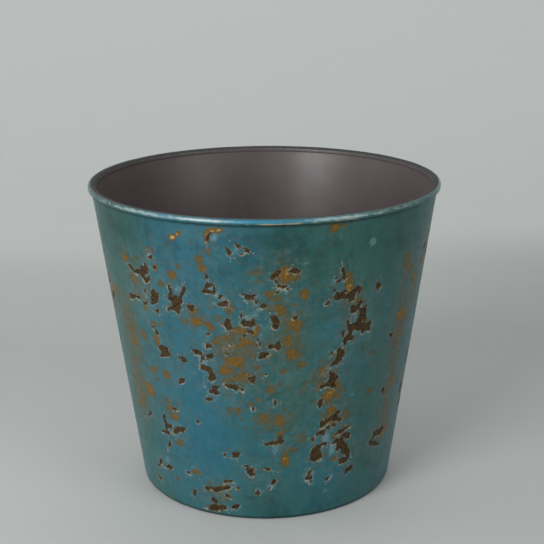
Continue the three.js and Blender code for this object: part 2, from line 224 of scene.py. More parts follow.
# Pale chalky patches: turn in degrees, height, half width and half height in mm, and strength.
PATCHES = (
    (-43, 105.6, 1.4, 2, 0.8), (-38.6, 126.8, 2, 1.9, 0.7), (-22, 80.4, 1.9, 3.2, 0.9),
    (-28.9, 112.6, 1.6, 1.9, 0.6), (-15, 137.4, 1.2, 1.7, 0.8), (-8.2, 132.2, 2.6, 2.4, 0.5),
    (-5.6, 101.8, 1.9, 1.4, 0.8), (5.8, 115, 2.3, 1.8, 0.8), (-12, 87.4, 2.6, 2.2, 0.7),
    (-15.2, 112.4, 1.4, 1.6, 0.7), (-0.6, 106.2, 1.8, 1.5, 0.6), (3.6, 37.2, 1.5, 2.4, 0.7),
    (32, 98.6, 1.6, 1.7, 0.8), (27.2, 33.6, 1.6, 2.8, 0.9), (24.2, 40.4, 1.9, 2.4, 0.9),
    (22, 74.2, 2.2, 2.8, 0.9), (17.8, 21.6, 1.9, 3.2, 0.8), (26.8, 18.8, 1.9, 1.8, 0.9),
    (26.2, 12.2, 1.2, 1.3, 0.5), (35.8, 132.4, 1.7, 1.5, 0.9), (-45.6, 22.6, 1.4, 2, 0.7),
    (-3, 104.2, 1, 1.6, 0.6), (9.8, 103.6, 1.6, 1.6, 0.6), (-17.4, 117.6, 1.2, 1.4, 0.6),
    (13, 126.6, 1.4, 1.2, 0.6), (41, 114.6, 1.4, 1.6, 0.4), (47.6, 99.4, 1.8, 1, 0.4),
    (34, 60.2, 1.4, 1.1, 0.6), (25.6, 56.6, 2.2, 1.2, 0.6), (22.4, 116.8, 1.4, 2.2, 0.5),
    (-4.6, 58.2, 1.5, 1.8, 0.7), (3.7, 60.8, 1.6, 2, 0.7), (-22.6, 67.8, 1.6, 1.8, 0.5),
    (20.2, 107, 1.6, 1.4, 0.6), (-26.8, 73, 1.6, 1.2, 0.4), (1.9, 17.4, 1.5, 1.4, 0.6),
    (-3.4, 15.2, 1.5, 1.6, 0.5), (-14.2, 18.4, 2.4, 1.6, 0.5), (-42, 38.8, 3.2, 2, 0.5),
    (-30.8, 23.6, 2, 1.6, 0.5), (-34.6, 18.6, 2.4, 1.4, 0.4), (-57, 40, 2, 1.6, 0.5),
)

# Clusters on the far side: turn in degrees, height and spread in mm. Their chips are drawn at random.
FAR_CLUSTERS = (
    (76, 118, 6), (80, 52, 8), (92, 92, 8), (101, 24, 6), (112, 112, 8), (122, 62, 10), (140, 95, 7),
    (146, 120, 7), (152, 34, 8), (166, 74, 13), (178, 116, 6), (190, 24, 9), (204, 96, 10), (214, 58, 6),
    (226, 118, 6), (232, 42, 9), (247, 82, 7), (256, 114, 9), (266, 34, 8), (276, 66, 8), (286, 98, 6),
)

# Where the paint leans to blue or, below nought, to green: turn in degrees, height in mm, half width
# in degrees, half height in mm, and strength. The blue leans left of the face, at turns -22 to -28,
# are partly painted highlight.
TONES_AND_HIGHLIGHTS = (
    (-28, 110, 18, 40, 0.6), (-27, 45, 15, 35, 0.9), (-22, 135, 16, 12, 0.6), (12, 132, 14, 14, -0.8),
    (-58, 132, 18, 24, -1), (-60, 60, 12, 50, -0.6), (40, 130, 24, 24, -1), (45, 60, 14, 50, -0.6),
    (25, 25, 7, 14, 0.4), (10, 85, 8, 30, -0.55), (10, 62, 12, 14, -0.4), (5, 8, 20, 10, -0.4),
    (110, 60, 30, 50, 0.5), (165, 100, 30, 40, -0.5), (215, 60, 30, 45, 0.6), (262, 100, 22, 40, -0.4),
)

# Where the paint lies deeper or, below nought, paler. The numbers are as for the tones.
SHADES = (
    (4, 133, 17, 11, 0.85), (-13, 121, 9, 10, 0.4), (-57, 137, 14, 15, 0.85), (-35, 135, 8, 10, 0.4),
    (18, 118, 12, 12, 0.35), (-45, 103, 8, 13, -0.7), (36, 90, 10, 16, -0.6), (-24, 138, 6, 3, -0.5),
    (-36, 60, 9, 16, -0.2), (48, 128, 12, 14, 0.35), (8, 40, 10, 14, 0.2), (5, 5, 20, 10, 0.45),
    (60, 20, 12, 24, 0.3), (120, 120, 20, 18, 0.6), (150, 60, 18, 24, -0.4), (200, 120, 24, 16, 0.5),
    (235, 70, 20, 26, -0.4), (280, 110, 16, 24, 0.4),
)

# Stretches of the bead where the paint is rubbed pale, and left of the face also painted highlight: turn and
# half width in degrees, and strength.
BEAD_WEAR_AND_HIGHLIGHT = (
    (-58, 8, 0.4), (-38, 12, 0.8), (-18, 8, 0.9), (16, 5, 0.7), (26, 6, 0.8), (38, 7, 0.6), (50, 5, 0.4),
    (88, 14, 0.6), (130, 18, 0.9), (170, 10, 0.7), (205, 20, 0.9), (250, 16, 0.7), (278, 8, 0.5),
)

# Stretches where the bead gets a painted blue highlight, and where its lower edge is worn to cream and gold.
BEAD_BLUE_HIGHLIGHT = ((-28, 18, 0.7), (-2, 14, 1), (20, 10, 0.7), (120, 40, 0.7), (215, 50, 0.8))
BEAD_EDGE = ((4, 11, 1), (26, 9, 0.7), (-34, 9, 0.4), (52, 6, 0.4), (140, 30, 0.7), (230, 25, 0.6))


def length(name, description, default):
    """A length property, in metres."""
    return FloatProperty(
        name=name, description=description, default=default, min=0.0, unit="LENGTH", precision=5)


def colour(name, description, default):
    """A colour property, in linear light."""
    return FloatVectorProperty(
        name=name, description=description, default=default, size=3, min=0.0, max=1.0, subtype="COLOR")


class BucketSizes(bpy.types.PropertyGroup):
    """The sizes that shape the bucket."""

    height: length("Height", "From the foot to the top of the rim", CAD_HIGH.z - CAD_LOW.z)
    rim_radius: length("Rim radius", "Outermost, at the rim bead", CAD_HIGH.x)
    base_radius: length("Base radius", "The outer wall carried down to the foot", 0.0608)
    wall: length("Wall", "Level thickness of the side wall", 0.0022)
    floor: length("Floor", "Thickness of the floor panel", 0.0024)
    bead_height: length("Bead height", "Height of the bead round the rim", 0.0026)
    bead_overhang: length("Bead overhang", "How far the bead stands out past the wall", 0.0016)
    band_radius: length("Band radius", "The upright stretch inside, just below the rim", 0.0786)
    foot_width: length("Foot width", "Width of the ring that the bucket stands on", 0.0052)
    panel_rise: length("Panel rise", "How far the floor panel is raised inside the foot", 0.003)
    coat: length("Coat", "Thickness of the paint coat", 0.0003)
    chip_depth: length("Chip depth", "How far a chip goes down into the coat", 0.0002)
    columns: IntProperty(
        name="Columns", description="Faces round the paint coat", default=480, min=48, max=520)


class BucketColours(bpy.types.PropertyGroup):
    """The colours of the moulding and of its paint."""

    plastic: colour("Plastic", "The satin mauve-brown moulding", (0.092, 0.069, 0.070))
    blue: colour("Blue", "The paint where it leans to blue", (0.012, 0.118, 0.168))
    green: colour("Green", "The paint where it leans to green", (0.020, 0.096, 0.086))
    haze: colour("Haze", "The chalky bloom on the paint", (0.062, 0.160, 0.180))
    chip: colour("Chip", "The brown base that the chips show", (0.042, 0.025, 0.009))
    cream: colour("Cream", "The pale edge round a chip", (0.330, 0.300, 0.200))
    ochre: colour("Ochre", "The rust-like stains", (0.170, 0.084, 0.006))
    umber: colour("Umber", "The darker parts of the stains", (0.078, 0.060, 0.018))
    gold: colour("Gold", "The heart of the brightest stains", (0.420, 0.290, 0.110))
    chalk: colour("Chalk", "The pale patches among the chips", (0.150, 0.260, 0.300))
    # Painted highlight: the lighter blue laid on the bead's upper face.
    painted_blue_highlight: colour("Lustre", "The bead where it shines blue", (0.026, 0.205, 0.310))
    # Worn paint and, left of the face, painted highlight: the pale silver on the bead.
    silver_wear_and_highlight: colour("Silver", "The rubbed paint on the bead", (0.250, 0.430, 0.480))


class BucketStage(bpy.types.PropertyGroup):
    """The camera, the lights and the sweep that the bucket stands on."""

    distance: length("Distance", "From the camera to the point it is aimed at", 0.5833)
    aim_height: length("Aim height", "Height of the point that the camera is aimed at", 0.1)
    aim_across: length("Aim across", "How far right of the axis the camera is aimed", 0.0033)
    pitch: FloatProperty(
        name="Pitch", description="How far the camera looks down", default=math.radians(16.49),
        subtype="ANGLE")
    roll: FloatProperty(
        name="Roll", description="Turn about the camera's own axis", default=math.radians(-0.337),
        subtype="ANGLE")
    lens: FloatProperty(
        name="Lens", description="Focal length on a 36 mm sensor", default=80.1, unit="CAMERA")
    paper: colour("Paper", "The sweep of pale paper", (0.560, 0.575, 0.560))
    air: colour("Air", "The soft light from all round", (0.500, 0.520, 0.520))


# Outlines


def unit(vector):
    """The vector at length 1."""
    return vector / np.linalg.norm(vector)


def rounded(corners):
    """An outline through corners (radius, height, round), in mm, given back in metres.

    A rounded corner is an arc of that radius touching both sides. Its centre is on the bisector, at
    round / sin(half the corner's angle), and the start point is turned about it in equal steps.
    """
    places = np.array([corner[:2] for corner in corners], float)
    parts = []
    for i, corner in enumerate(corners):
        radius = corner[2] if len(corner) > 2 else 0.0
        if not radius:
            parts.append(places[i : i + 1])
            continue
        back = unit(places[i - 1] - places[i])
        ahead = unit(places[i + 1] - places[i])
        half = math.acos(back @ ahead) / 2
        centre = places[i] + unit(back + ahead) * radius / math.sin(half)
        start = places[i] + back * radius / math.tan(half) - centre
        side = np.sign(ahead[0] * back[1] - ahead[1] * back[0])
        sweep = np.linspace(0, side * (math.pi - 2 * half), ARC_STEPS + 1)
        cos, sin = np.cos(sweep), np.sin(sweep)
        turned_start = (start[0] * cos - start[1] * sin, start[0] * sin + start[1] * cos)
        parts.append(centre + np.stack(turned_start, axis=-1))
    return np.concatenate(parts) * MM


def subdivided(outline, spacing):
    """The outline with each side cut into equal parts no longer than spacing."""
    parts = []
    for start, end in zip(outline, outline[1:]):
        count = max(1, math.ceil(np.linalg.norm(end - start) / spacing))
        parts.append(start + (end - start) * np.arange(count)[:, None] / count)
    return np.concatenate([*parts, outline[-1:]])


def normals(outline):
    """At each point, the chord between its neighbours turned a quarter clockwise, at length 1."""
    chord = np.gradient(outline, axis=0)
    chord /= np.linalg.norm(chord, axis=1, keepdims=True)
    return np.stack((chord[:, 1], -chord[:, 0]), axis=-1)


def outside_outline(sizes):
    """From the flat of the foot up the wall and round the bead to the level land of the rim."""
    base, rim = sizes.base_radius / MM, sizes.rim_radius / MM
    top = sizes.height / MM
    under = top - sizes.bead_height / MM
    wall_top = rim - sizes.bead_overhang / MM
    lower_round, upper_round = 0.8, 1.3
    foot_round, hollow_round = 1.6, 0.5
    outline = rounded((
        (base - sizes.foot_width / MM / 2, 0),
        (base, 0, foot_round),
        (wall_top, under, hollow_round),
        (rim, under, lower_round),
        (rim, top, upper_round),
        (rim - 2 * upper_round, top),
    ))
    return outline[1:-1]


def underside_outline(sizes):
    """From the gate mark at the centre, along the raised panel, to the flat of the foot."""
    rise = sizes.panel_rise / MM
    foot_inner = (sizes.base_radius - sizes.foot_width) / MM
    dimple, dimple_depth, nub, nub_height, draft = 4.0, 0.5, 1.2, 0.3, 0.6
    return rounded((
        (0, rise + dimple_depth - nub_height),
        (nub, rise + dimple_depth - nub_height, 0.15),
        (nub + 0.2, rise + dimple_depth, 0.15),
        (dimple, rise + dimple_depth, 0.3),
        (dimple + dimple_depth, rise, 0.3),
        (foot_inner - draft, rise, 0.9),
        (foot_inner, 0, 0.8),
        (sizes.base_radius / MM, 0),
    ))[:-1]


def inside_outline(sizes):
    """From the level land of the rim over its inner round and down the wall to the floor's middle."""
    top = sizes.height / MM
    band = sizes.band_radius / MM
    band_height, chamfer, band_round, floor_fillet = 2.1, 0.5, 1.5, 6.0
    floor_top = (sizes.panel_rise + sizes.floor) / MM
    under = top - sizes.bead_height / MM
    taper = ((sizes.rim_radius - sizes.bead_overhang - sizes.base_radius) / MM) / under
    inner = (sizes.base_radius - sizes.wall) / MM
    wall_top = top - band_height - chamfer
    return rounded((
        (sizes.rim_radius / MM, top),
        (band, top, band_round),
        (band, top - band_height, 0.2),
        (inner + taper * wall_top, wall_top, 0.4),
        (inner + taper * floor_top, floor_top, floor_fillet),
        (0, floor_top),
    ))[1:]


# Meshes


def ring_of_points(outline, columns):
    """Point (i, j) is (r cos a, r sin a, z) for outline point i and the angle a = 2 pi j / columns."""
    angle = np.arange(columns) * 2 * math.pi / columns
    radius, height = outline[:, :1], outline[:, 1:]
    return np.stack(
        (radius * np.cos(angle), radius * np.sin(angle), height + 0 * angle), axis=-1)


def grid_faces(rows, columns, row_steps, column_steps):
    """A face for each step over a grid of points. A step past the last row or column goes to the first."""
    row, column = np.mgrid[0:row_steps, 0:column_steps]
    after, beside = (row + 1) % rows, (column + 1) % columns
    corners = ((row, column), (row, beside), (after, beside), (after, column))
    return np.stack([r * columns + c for r, c in corners], axis=-1).reshape(-1, 4)


def add_piece(name, points, faces, material):
    """A smooth mesh object of those points and faces, with that one material."""
    mesh = bpy.data.meshes.new(name)
    mesh.from_pydata(points.reshape(-1, 3).tolist(), [], faces)
    mesh.shade_smooth()
    mesh.materials.append(material)
    piece = bpy.data.objects.new(name, mesh)
    bpy.context.scene.collection.objects.link(piece)
    return piece


def add_attribute(piece, name, values):
    """One number for each vertex of the piece, for its material to read."""
    attribute = piece.data.attributes.new(name, "FLOAT", "POINT")
    attribute.data.foreach_set("value", values.astype(np.float32).ravel())


def add_turned(name, outline, columns, material):
    """An outline that starts and ends on the axis, turned into a closed body with a fan at each end."""
    inner = outline[1:-1]
    ring = ring_of_points(inner, columns).reshape(-1, 3)
    ends = np.array([[0, 0, outline[0, 1]], [0, 0, outline[-1, 1]]])
    first, last = len(ring), len(ring) + 1
    quads = grid_faces(len(inner), columns, len(inner) - 1, columns).tolist()
    here = np.arange(columns)
    beside = (here + 1) % columns
    low = np.stack((np.full(columns, first), beside, here), axis=-1)
    top = np.stack((np.full(columns, last), here, beside), axis=-1)
    top[:, 1:] += len(ring) - columns
    return add_piece(name, np.concatenate((ring, ends)), quads + low.tolist() + top.tolist(), material)


# Patterns


def smooth(value, low, high):
    """0 below low, 1 above high, and 3t^2 - 2t^3 between."""
    share = np.clip((value - low) / (high - low), 0, 1)
    return share * share * (3 - 2 * share)


def wrapped(turn):
    """The same turn from half a circle back to half a circle ahead, in radians."""
    return (turn + math.pi) % (2 * math.pi) - math.pi


def cloud(points, size, seed):
    """Value noise from -1 to 1: random values on a cubic lattice of that size, blended by 3t^2 - 2t^3."""
    cells = 48
    lattice = np.random.default_rng(seed).uniform(-1, 1, (cells, cells, cells))
    scaled = points / size
    low = np.floor(scaled).astype(int)
    share = smooth(scaled - low, 0, 1)
    total = np.zeros(points.shape[:-1])
    for corner in np.ndindex(2, 2, 2):
        weight = np.where(corner, share, 1 - share).prod(axis=-1)
        place = (low + corner) % cells
        total += weight * lattice[place[..., 0], place[..., 1], place[..., 2]]
    return total


class Wall:
    """The painted surface unrolled: the turn, height and radius of each point, the last two in mm."""

    def __init__(self, points):
        self.points = points
        self.turn = np.arctan2(points[..., 0], -points[..., 1])
        self.height = points[..., 2] / MM
        self.radius = np.hypot(points[..., 0], points[..., 1]) / MM

    def from_place(self, turn, height, lean=0.0):
        """Distances in mm along and across the axes of a mark at that place, leaning by that angle."""
        across = wrapped(self.turn - math.radians(turn)) * self.radius
        up = self.height - height
        cos, sin = math.cos(math.radians(lean)), math.sin(math.radians(lean))
        return across * cos + up * sin, up * cos - across * sin


def chip_field(wall, marks, seed, shift=(0, 0)):
    """How far inside a chip each point is, in mm, and below nought how far outside.

    A mark is an ellipse whose edge wanders with the bearing b round its centre: the distance, in units
    of the ellipse, is divided by 1 + 0.2 sin(2b + p) + 0.16 sin(3b + q) + 0.12 sin(5b + r), with seeded
    p, q and r. The field is (1 - that distance) times the shorter half axis, and the greatest one counts.
    The shift moves every mark along its own axes, in mm.
    """
    rng = np.random.default_rng(seed)
    field = np.full(wall.turn.shape, FAR_OUTSIDE)
    for turn, height, half_width, half_height, *lean in marks:
        phase = rng.uniform(0, 2 * math.pi, 3)
        along, across = wall.from_place(turn, height, *lean)
        near = np.hypot(along, across) < 2 * max(half_width, half_height) + 3
        along = (along[near] - shift[0]) / half_width
        across = (across[near] - shift[1]) / half_height
        bearing = np.arctan2(across, along)[:, None]
        waves = np.sin(bearing * (2, 3, 5) + phase) @ (0.2, 0.16, 0.12)
        depth = (1 - np.hypot(along, across) / (1 + waves)) * min(half_width, half_height)
        field[near] = np.maximum(field[near], depth)
    return field


def stain_field(wall, marks):
    """The greatest of each mark's strength times a soft oval, whose edge wanders with two clouds."""
    field = np.zeros(wall.turn.shape)
    wander = 0.5 * cloud(wall.points, 2.4 * MM, 9) + 0.25 * cloud(wall.points, 1.1 * MM, 10)
    for turn, height, half_width, half_height, strength in marks:
        along, across = wall.from_place(turn, height)
        distance = np.hypot(along / half_width, across / half_height) + wander
        field = np.maximum(field, strength * smooth(-distance, -1.7, -0.5))
    return field


def crowd_field(wall, marks, reach):
    """How close the marks stand: 1 - exp(-s), s being the sum of a bell round each, by its area.

    The reach of a bell is in mm.
    """
    field = np.zeros(wall.turn.shape)
    for turn, height, half_width, half_height, *_ in marks:
        along, across = wall.from_place(turn, height)
        weight = min(half_width * half_height / 3, 1.5)
        field += weight * np.exp(-(along**2 + across**2) / (2 * reach**2))
    return 1 - np.exp(-field)


def broad_field(wall, bells):
    """From -1 to 1: the sum of broad bells round the given places."""
    field = np.zeros(wall.turn.shape)
    for turn, height, half_width, half_height, strength in bells:
        aside = wrapped(wall.turn - math.radians(turn)) / math.radians(half_width)
        up = (wall.height - height) / half_height
        field += strength * np.exp(-(aside**2 + up**2))
    return np.clip(field, -1, 1)


def along_bead(wall, stretches):
    """How strongly the stretches of the bead count at each turn: the sum of a bell round each one."""
    along = np.zeros(wall.turn.shape)
    for turn, half_width, strength in stretches:
        aside = wrapped(wall.turn - math.radians(turn)) / math.radians(half_width)
        along += strength * np.exp(-(aside**2))
    return along


def bead_outer(wall, sizes):
    """The part of the bead that stands out past the wall, from 0 to 1."""
    rim, overhang = sizes.rim_radius, sizes.bead_overhang
    return smooth(wall.radius, (rim - 0.7 * overhang) / MM, rim / MM)


def bead_face(wall, sizes):
    """The upper and outer face of the bead, from 0 to 1."""
    below_top = sizes.height / MM - wall.height
    bead_height = sizes.bead_height / MM
    return bead_outer(wall, sizes) * smooth(-below_top, -0.75 * bead_height, -0.5 * bead_height)


def bead_edge(wall, sizes):
    """The lower edge of the bead: a bell 0.35 mm high round a line 0.7 mm above its underside."""
    above = wall.height - (sizes.height - sizes.bead_height) / MM
    return bead_outer(wall, sizes) * np.exp(-(((above - 0.7) / 0.35) ** 2))


def thin_field(wall, sizes):
    """How thin the paint is on the top of the bead, from 0 to 1."""
    inner = (sizes.rim_radius - 1.6 * MM) / MM
    top = smooth(wall.height, (sizes.height - 0.5 * MM) / MM, sizes.height / MM)
    return top * smooth(-wall.radius, -sizes.rim_radius / MM, -inner)


def painted_shade_field(wall, sizes):
    """Painted shade in the hollow under the bead and along the foot, from 0 to 1, fading out along the wall.
    """
    under = (sizes.height - sizes.bead_height) / MM
    rim, wall_top = sizes.rim_radius / MM, (sizes.rim_radius - sizes.bead_overhang) / MM
    hollow = smooth(-wall.radius, -rim, -wall_top) * smooth(wall.height, under - 2.2, under + 0.1)
    hollow *= smooth(-wall.height, -under - 0.8, -under)
    foot = smooth(-wall.height, -2.4, -0.8)
    return np.maximum(hollow, foot)


def far_marks(sizes):
    """Chips, stains and patches for the far side, drawn at random round each cluster.

    The chips go in short walks of one to four that overlap. A walk has one size, and its heading drifts.
    """
    rng = np.random.default_rng(11)
    middle = (sizes.rim_radius + sizes.base_radius) / 2 / MM
    lowest, highest = 3, (sizes.height - 3 * sizes.bead_height) / MM
    chips, stains, patches = [], [], []

    def beside(aside, up):
        """The turn and height of a place that many mm from the middle of the cluster."""
        return turn + math.degrees(aside / middle), np.clip(height + up, lowest, highest)

    for turn, height, spread in FAR_CLUSTERS:
        for _ in range(int(1.2 * spread)):
            place = rng.normal(0, spread, 2) * (0.7, 1)
            heading = rng.uniform(0, 2 * math.pi)
            size = np.exp(rng.normal(0, 0.4))
            for _ in range(rng.integers(1, 5)):
                halves = size * rng.uniform(0.6, 1.5, 2)
                chips.append((*beside(*place), *halves, rng.uniform(-50, 50)))
                heading += rng.normal(0, 0.7)
                place += size * 1.5 * np.array((math.cos(heading), math.sin(heading)))
        for _ in range(2 * spread):
            place = beside(*rng.normal(0, 1.2 * spread, 2))
            stains.append((*place, *rng.uniform(1, 2.8, 2), rng.uniform(0.35, 1.15)))
        stains.append((turn, height, 0.9 * spread, spread, 0.34))
        for _ in range(3):
            place = beside(*rng.normal(0, 0.8 * spread, 2))
            patches.append((*place, *rng.uniform(1.2, 2.6, 2), rng.uniform(0.5, 0.9)))
    return tuple(chips), tuple(stains), tuple(patches)


# Materials


class Recipe:
    """One procedural material, laid in layers of colour. Its patterns read Object coordinates, in mm."""

    def __init__(self, name):
        self.material = bpy.data.materials.new(name)
        self.material.use_nodes = True
        self.tree = self.material.node_tree
        self.shader = self.tree.nodes["Principled BSDF"]
        self.place = self.add("TexCoord").outputs["Object"]
        self.base = None

    def feed(self, socket, value):
        """Links a socket to this input, or sets the input to a plain value."""
        if isinstance(value, bpy.types.NodeSocket):
            self.tree.links.new(value, socket)
        elif value is not None:
            socket.default_value = value

    def add(self, kind, settings=None, inputs=None):
        """A node of that kind. Inputs go by name or number."""
        node = self.tree.nodes.new("ShaderNode" + kind)
        for key, value in (settings or {}).items():
            setattr(node, key, value)
        for key, value in (inputs or {}).items():
            self.feed(node.inputs[key], value)
        return node

    def attribute(self, name):
        """The piece's own number of that name."""
        return self.add("Attribute", {"attribute_name": name}).outputs["Fac"]

    def mapped(self, size, stretch, offset):
        """Object coordinates in units of size mm, drawn out by stretch along each axis."""
        scale = [1 / (size * MM * s) for s in stretch]
        return self.add(
            "Mapping", inputs={"Vector": self.place, "Scale": scale, "Location": (offset,) * 3}
        ).outputs[0]

    def noise(self, size, detail=2.0, stretch=(1, 1, 1), offset=0.0, roughness=0.5):
        """Noise from 0 to 1 with features of that size in mm."""
        return self.add("TexNoise", inputs={
            "Vector": self.mapped(size, stretch, offset), "Scale": 1.0, "Detail": detail,
            "Roughness": roughness,
        }).outputs["Fac"]

    def specks(self, size, dot, share, offset):
        """Dots of radius dot mm in a random share of the cells of a lattice of that size in mm."""
        cells = self.add("TexVoronoi", inputs={
            "Vector": self.mapped(size, (1, 1, 1), offset), "Scale": 1.0})
        pick = self.band(self.add(
            "SeparateColor", inputs={0: cells.outputs["Color"]}).outputs[0], share, share - 0.02)
        near = self.band(cells.outputs["Distance"], dot / size, 0.5 * dot / size)
        return self.times(pick, near)

    def arithmetic(self, operation, *values):
        """One arithmetic operation on the values."""
        return self.add("Math", {"operation": operation}, dict(enumerate(values))).outputs[0]

    def times(self, a, b):
        """The product of a and b."""
        return self.arithmetic("MULTIPLY", a, b)

    def plus(self, a, b):
        """The sum of a and b."""
        return self.arithmetic("ADD", a, b)

    def shifted(self, value, noise, amount):
        """The value pushed up and down by the noise, by up to half the amount each way."""
        centred = self.arithmetic("SUBTRACT", noise, 0.5)
        return self.arithmetic("MULTIPLY_ADD", centred, amount, value)

    def field(self, name, noise, amount):
        """The piece's own number of that name, shifted by the noise."""
        return self.shifted(self.attribute(name), noise, amount)

    def band(self, value, low, high, least=0.0, most=1.0):
        """least below low, most above high, and a smooth step between."""
        return self.add("MapRange", {"interpolation_type": "SMOOTHSTEP"}, {
            "Value": value, "From Min": low, "From Max": high, "To Min": least, "To Max": most,
        }).outputs[0]

    def mix(self, share, a, b, blend="MIX"):
        """Colour a turning into colour b by that share."""
        a, b = [c if isinstance(c, bpy.types.NodeSocket) else (*c, 1.0) for c in (a, b)]
        return self.add(
            "Mix", {"data_type": "RGBA", "blend_type": blend}, {0: share, 6: a, 7: b}).outputs[2]

    def lay(self, share, colour, blend="MIX"):
        """Lays a colour over the base by that share."""
        self.base = self.mix(share, self.base, colour, blend)

    def finish(self, roughness, height, specular=0.5):
        """Sends the base colour, the roughness, a relief in mm and the specular level to the shader."""
        bump = self.add("Bump", inputs={"Height": height, "Distance": MM, "Strength": 1.0})
        self.feed(self.shader.inputs["Base Color"], self.base)
        self.feed(self.shader.inputs["Roughness"], roughness)
        self.feed(self.shader.inputs["Specular IOR Level"], specular)
        self.feed(self.shader.inputs["Normal"], bump.outputs[0])
        return self.material


def tinted(base, factor):
    """A colour made lighter or darker by a factor."""
    return tuple(channel * factor for channel in base)


def plastic_material(colours):
    """Satin moulded plastic: faint flow clouds, upright draw lines, dust low down and a mist of paint."""
    plastic = Recipe("moulded_plastic")
    flow = plastic.noise(26, detail=3)
    draw = plastic.noise(1.1, detail=3, stretch=(1, 1, 45))
    grain = plastic.noise(0.35, detail=2)
    scuff = plastic.noise(2.4, detail=5, stretch=(1, 1, 6), offset=7.0, roughness=0.65)
    plastic.base = plastic.mix(flow, tinted(colours.plastic, 0.86), tinted(colours.plastic, 1.12))
    plastic.lay(plastic.band(draw, 0.45, 0.8, 0, 0.12), tinted(colours.plastic, 1.6))
    dust = plastic.band(plastic.field("dust", plastic.noise(4, detail=4), 0.9), 0.3, 1.1, 0, 0.3)
    plastic.lay(dust, (0.30, 0.27, 0.24))
    mist = plastic.band(plastic.field("mist", plastic.noise(0.9, detail=4), 0.9), 0.3, 0.75, 0, 0.9)
    plastic.lay(mist, (0.050, 0.058, 0.054))
    rough = plastic.plus(plastic.band(scuff, 0.56, 0.74, 0, 0.12), plastic.times(mist, 0.3))
    rough = plastic.plus(plastic.band(flow, 0.3, 0.7, 0.36, 0.42), rough)
    relief = plastic.shifted(plastic.times(grain, 0.006), draw, 0.008)
    relief = plastic.shifted(relief, flow, 0.25)
    return plastic.finish(rough, relief, plastic.band(mist, 0, 0.9, 0.8, 0.1))


def lay_paint(paint, colours):
    """The paint itself: clouds of blue and green, the blue partly painted highlight, upright streaks and a
    chalky bloom by the chips.
    """
    # The blue leans left of the face are partly painted highlight.
    tone_and_highlight = paint.field("tone_and_highlight", paint.noise(12, detail=4, roughness=0.6), 1.6)
    paint.base = paint.mix(paint.band(tone_and_highlight, -0.8, 0.8), colours.green, colours.blue)
    streak = paint.noise(2.2, detail=4, stretch=(1, 1, 9), roughness=0.6)
    paint.lay(paint.band(streak, 0.48, 0.75, 0, 0.28), tinted(colours.green, 0.55))
    paint.lay(paint.band(streak, 0.5, 0.25, 0, 0.1), colours.haze)
    shade = paint.field("shade", paint.noise(8, detail=4, offset=29.0), 2.4)
    paint.lay(paint.band(shade, 0.0, 1.0, 0, 0.95), (0.25, 0.58, 0.62), "MULTIPLY")
    paint.lay(paint.band(shade, 0.0, -1.0, 0, 0.5), colours.haze)
    mottle = paint.noise(3.0, detail=5, offset=3.0, roughness=0.62)
    crowd = paint.attribute("crowd")
    bloom = paint.times(paint.band(mottle, 0.42, 0.68), crowd)
    paint.lay(paint.times(bloom, 0.6), colours.haze)
    dull = paint.times(paint.band(paint.noise(2.3, detail=4, offset=13.0), 0.45, 0.66), crowd)
    paint.lay(paint.times(dull, 0.5), (0.085, 0.095, 0.075))
    grain = paint.noise(0.7, detail=3, offset=17.0, roughness=0.7)
    paint.lay(paint.band(grain, 0.5, 0.75, 0, 0.35), tinted(colours.green, 0.6))
    paint.lay(paint.band(grain, 0.5, 0.25, 0, 0.22), colours.haze)


def lay_stains(paint, colours, fine):
    """Spots of umber and rust where marks crowd, then ochre stains, umber in places and gold at heart.

    Gives back how deep in a stain each point lies.
    """
    crowd = paint.attribute("crowd")
    dots = paint.times(paint.specks(6.0, 1.4, 0.6, 4.0), paint.band(crowd, 0.05, 0.5, 0.1, 0.55))
    paint.lay(dots, colours.umber)
    rust = paint.times(paint.specks(4.4, 0.8, 0.5, 6.0), paint.band(crowd, 0.05, 0.5, 0.12, 0.45))
    paint.lay(rust, (0.105, 0.062, 0.045))
    stain = paint.field("stain", paint.noise(1.5, detail=3, offset=2.0, roughness=0.6), 1.4)
    heart = paint.band(paint.shifted(stain, paint.noise(1.0, detail=3, offset=19.0), 2.2), 0.1, 1.25)
    worn = paint.times(paint.band(stain, -0.06, 0.72), paint.band(fine, 0.25, 0.6, 0.72, 1.0))
    paint.lay(worn, paint.mix(heart, colours.umber, colours.ochre))
    paint.lay(paint.band(stain, 1.1, 1.4, 0, 0.9), colours.gold)
    return stain


def lay_edges(paint, colours, fine, patch):
    """A broken edge of cream, ochre and chalk round each chip, with pale crumbs and brown motes beside it."""
    halo = paint.field("halo", fine, 2.0)
    pale = paint.times(paint.band(halo, -0.62, -0.15), paint.band(patch, 0.4, 0.64, 0.22, 0.7))
    edge = paint.mix(paint.band(patch, 0.45, 0.6), tinted(colours.ochre, 1.3), colours.cream)
    edge = paint.mix(paint.band(paint.noise(3.4, detail=2, offset=37.0), 0.46, 0.62), edge, colours.chalk)
    paint.lay(pale, edge)
    beside = paint.band(halo, -2.4, -0.7)
    crumbs = paint.times(paint.specks(1.6, 0.5, 0.5, 21.0), beside)
    paint.lay(paint.times(crumbs, 0.7), paint.mix(patch, colours.chalk, colours.cream))
    motes = paint.times(paint.specks(1.9, 0.5, 0.3, 25.0), beside)
    paint.lay(paint.times(motes, 0.75), colours.chip)


def lay_chips(paint, colours, fine):
    """The mottled brown that shows in the chips, and specks all over. Gives back where the brown is bare."""
    bare = paint.band(paint.field("chip", fine, 2.0), -0.12, 0.1)
    brown = paint.mix(paint.band(fine, 0.32, 0.66), tinted(colours.chip, 0.2), tinted(colours.chip, 1.7))
    paint.lay(bare, brown)
    paint.lay(paint.times(paint.specks(4.3, 0.7, 0.22, 1.0), 0.4), colours.haze)
    paint.lay(paint.times(paint.specks(4.3, 0.4, 0.22, 1.0), 0.8), colours.chip)
    return bare


